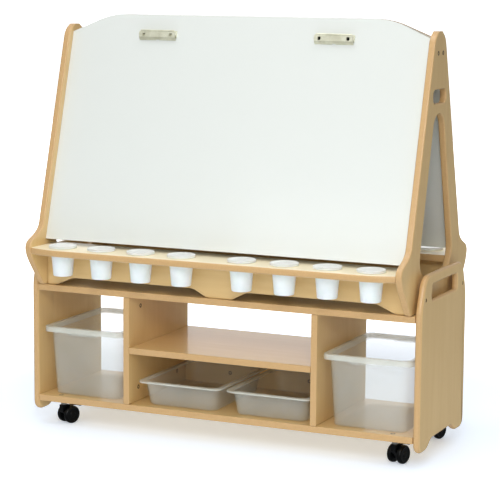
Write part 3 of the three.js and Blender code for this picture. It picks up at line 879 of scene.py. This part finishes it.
# ------------------------------------------------------------------ stage, light and camera
FLOOR_RADIUS = 1.7
FAR_FLOOR_SIZE = 40
BACKDROP_PLACE = (-4.2, 9, 2.5)
BACKDROP_SIZE = (9, 5, 1)
SURROUND_RADIUS, SURROUND_HEIGHT, SURROUND_MIDDLE_Z = 18, 26, 12
FLOOR_GLOW = 0.38
GLOW_START = 0.9
FLOOR_COLOURS = (0.72, 0.81, 0.94, 1), (0.74, 0.83, 0.96, 1)
BACKDROP_COLOURS = (0.8, 0.8, 0.8, 1), (0.82, 0.82, 0.82, 1)
WORLD_BELOW = (0.18, 0.187, 0.195, 1)
WORLD_ABOVE = (0.68, 0.695, 0.71, 1)
WORLD_BRIGHT_FROM = 0.75


def stage_object(name, material):
    stage = bpy.context.object
    stage.name = name
    dress(stage, material)
    return stage


def floor_material():
    """A matt floor that glows a little near the easel, and fully further out."""
    shader = Shader("pale_floor")
    soft = shader.noise(shader.scaled((2, 2, 2)), detail=2)
    reach = shader.add("ShaderNodeVectorMath", {0: shader.coords.outputs["Object"]},
                       operation="LENGTH").outputs["Value"]
    glow = shader.math("ADD", FLOOR_GLOW, shader.math(
        "MULTIPLY", shader.between(reach, GLOW_START, FLOOR_RADIUS), 1 - FLOOR_GLOW))
    shader.set(Base_Color=shader.mix(soft, *FLOOR_COLOURS), Roughness=0.9,
               Specular_IOR_Level=0.1, Emission_Color=(0.95, 0.97, 1.0, 1),
               Emission_Strength=glow)
    return shader.material


def backdrop_material():
    shader = Shader("white_backdrop")
    soft = shader.noise(shader.scaled((2, 2, 2)), detail=2)
    shader.set(Base_Color=shader.mix(soft, *BACKDROP_COLOURS), Emission_Color=(1, 1, 1, 1),
               Emission_Strength=1.0)
    return shader.material


def make_stage():
    """A glowing disc of floor on a wide white one, a far wall, and a surround."""
    white = backdrop_material()
    bpy.ops.mesh.primitive_circle_add(radius=FLOOR_RADIUS, vertices=96, fill_type="NGON")
    floor = stage_object("floor", floor_material())
    bpy.ops.mesh.primitive_plane_add(size=FAR_FLOOR_SIZE, location=(0, 0, -1 * MM))
    sweep = stage_object("far_floor", white)
    bpy.ops.mesh.primitive_plane_add(size=1, location=BACKDROP_PLACE,
                                     rotation=(math.pi / 2, 0, 0))
    wall = stage_object("backdrop", white)
    wall.scale = BACKDROP_SIZE
    bpy.ops.mesh.primitive_cylinder_add(vertices=64, radius=SURROUND_RADIUS,
                                        depth=SURROUND_HEIGHT,
                                        location=(0, 0, SURROUND_MIDDLE_Z),
                                        end_fill_type="NOTHING")
    surround = stage_object("surround", white)
    for unseen in (floor, sweep, surround):
        unseen.visible_glossy = False
    for unlit in (sweep, surround):
        unlit.visible_diffuse = False
    surround.visible_shadow = False


def make_world():
    """Dim from below, brighter from above."""
    world = bpy.data.worlds.new("studio")
    bpy.context.scene.world = world
    world.use_nodes = True
    tree = world.node_tree
    direction = tree.nodes.new("ShaderNodeTexCoord")
    split = tree.nodes.new("ShaderNodeSeparateXYZ")
    ramp = tree.nodes.new("ShaderNodeValToRGB")
    tree.links.new(direction.outputs["Generated"], split.inputs[0])
    tree.links.new(split.outputs["Z"], ramp.inputs[0])
    tree.links.new(ramp.outputs[0], tree.nodes["Background"].inputs["Color"])
    dim, bright = ramp.color_ramp.elements
    dim.position, dim.color = 0.0, WORLD_BELOW
    bright.position, bright.color = WORLD_BRIGHT_FROM, WORLD_ABOVE


def area_light(name, position, target, size, power):
    data = bpy.data.lights.new(name, "AREA")
    data.shape = "RECTANGLE"
    data.size, data.size_y = size
    data.energy = power
    light = bpy.data.objects.new(name, data)
    bpy.context.scene.collection.objects.link(light)
    light.location = position
    aim = Vector(target) - Vector(position)
    light.rotation_euler = aim.to_track_quat("-Z", "Y").to_euler()


def make_lights():
    middle = (0, 0, 0.6)
    area_light("near_softbox", (0.5, -2.1, 1.5), (-0.2, 0, 0.4), (0.8, 0.8), 5)
    area_light("left_softbox", (-1.2, -4.4, 1.9), middle, (1.5, 1.2), 12)
    area_light("low_softbox", (1.9, -4.3, 1.0), middle, (1.2, 1.2), 26)
    area_light("right_softbox", (1.7, -3.4, 2.6), middle, (1.2, 1.2), 40)
    area_light("top_softbox", (0.0, -0.6, 3.6), middle, (2.4, 1.4), 30)


CAMERA_ANGLES = 24.49, 8.58, 0.46
CAMERA_AIM = Vector((0.0104, 0.0, 0.5108))
CAMERA_DISTANCE = 5.034
CAMERA_LENS = 131.85
CAMERA_SENSOR = 36


def make_camera():
    """A long lens from the front right, a little above."""
    azimuth, elevation, roll = (math.radians(angle) for angle in CAMERA_ANGLES)
    back = Vector((math.sin(azimuth) * math.cos(elevation),
                   -math.cos(azimuth) * math.cos(elevation), math.sin(elevation)))
    right = Vector((math.cos(azimuth), math.sin(azimuth), 0))
    up = back.cross(right)
    right, up = (math.cos(roll) * right + math.sin(roll) * up,
                 math.cos(roll) * up - math.sin(roll) * right)
    data = bpy.data.cameras.new("camera")
    data.lens = CAMERA_LENS
    data.sensor_width = CAMERA_SENSOR
    camera = bpy.data.objects.new("camera", data)
    bpy.context.scene.collection.objects.link(camera)
    turn = Matrix((right, up, back)).transposed().to_4x4()
    camera.matrix_world = Matrix.Translation(CAMERA_AIM + back * CAMERA_DISTANCE) @ turn
    bpy.context.scene.camera = camera
    bpy.context.scene.view_settings.view_transform = "Standard"


make_camera()
dress_wood()
dress_whiteboards()
make_pots()
make_containers()
make_casters()
make_clips()
make_bolts()
make_stage()
make_world()
make_lights()
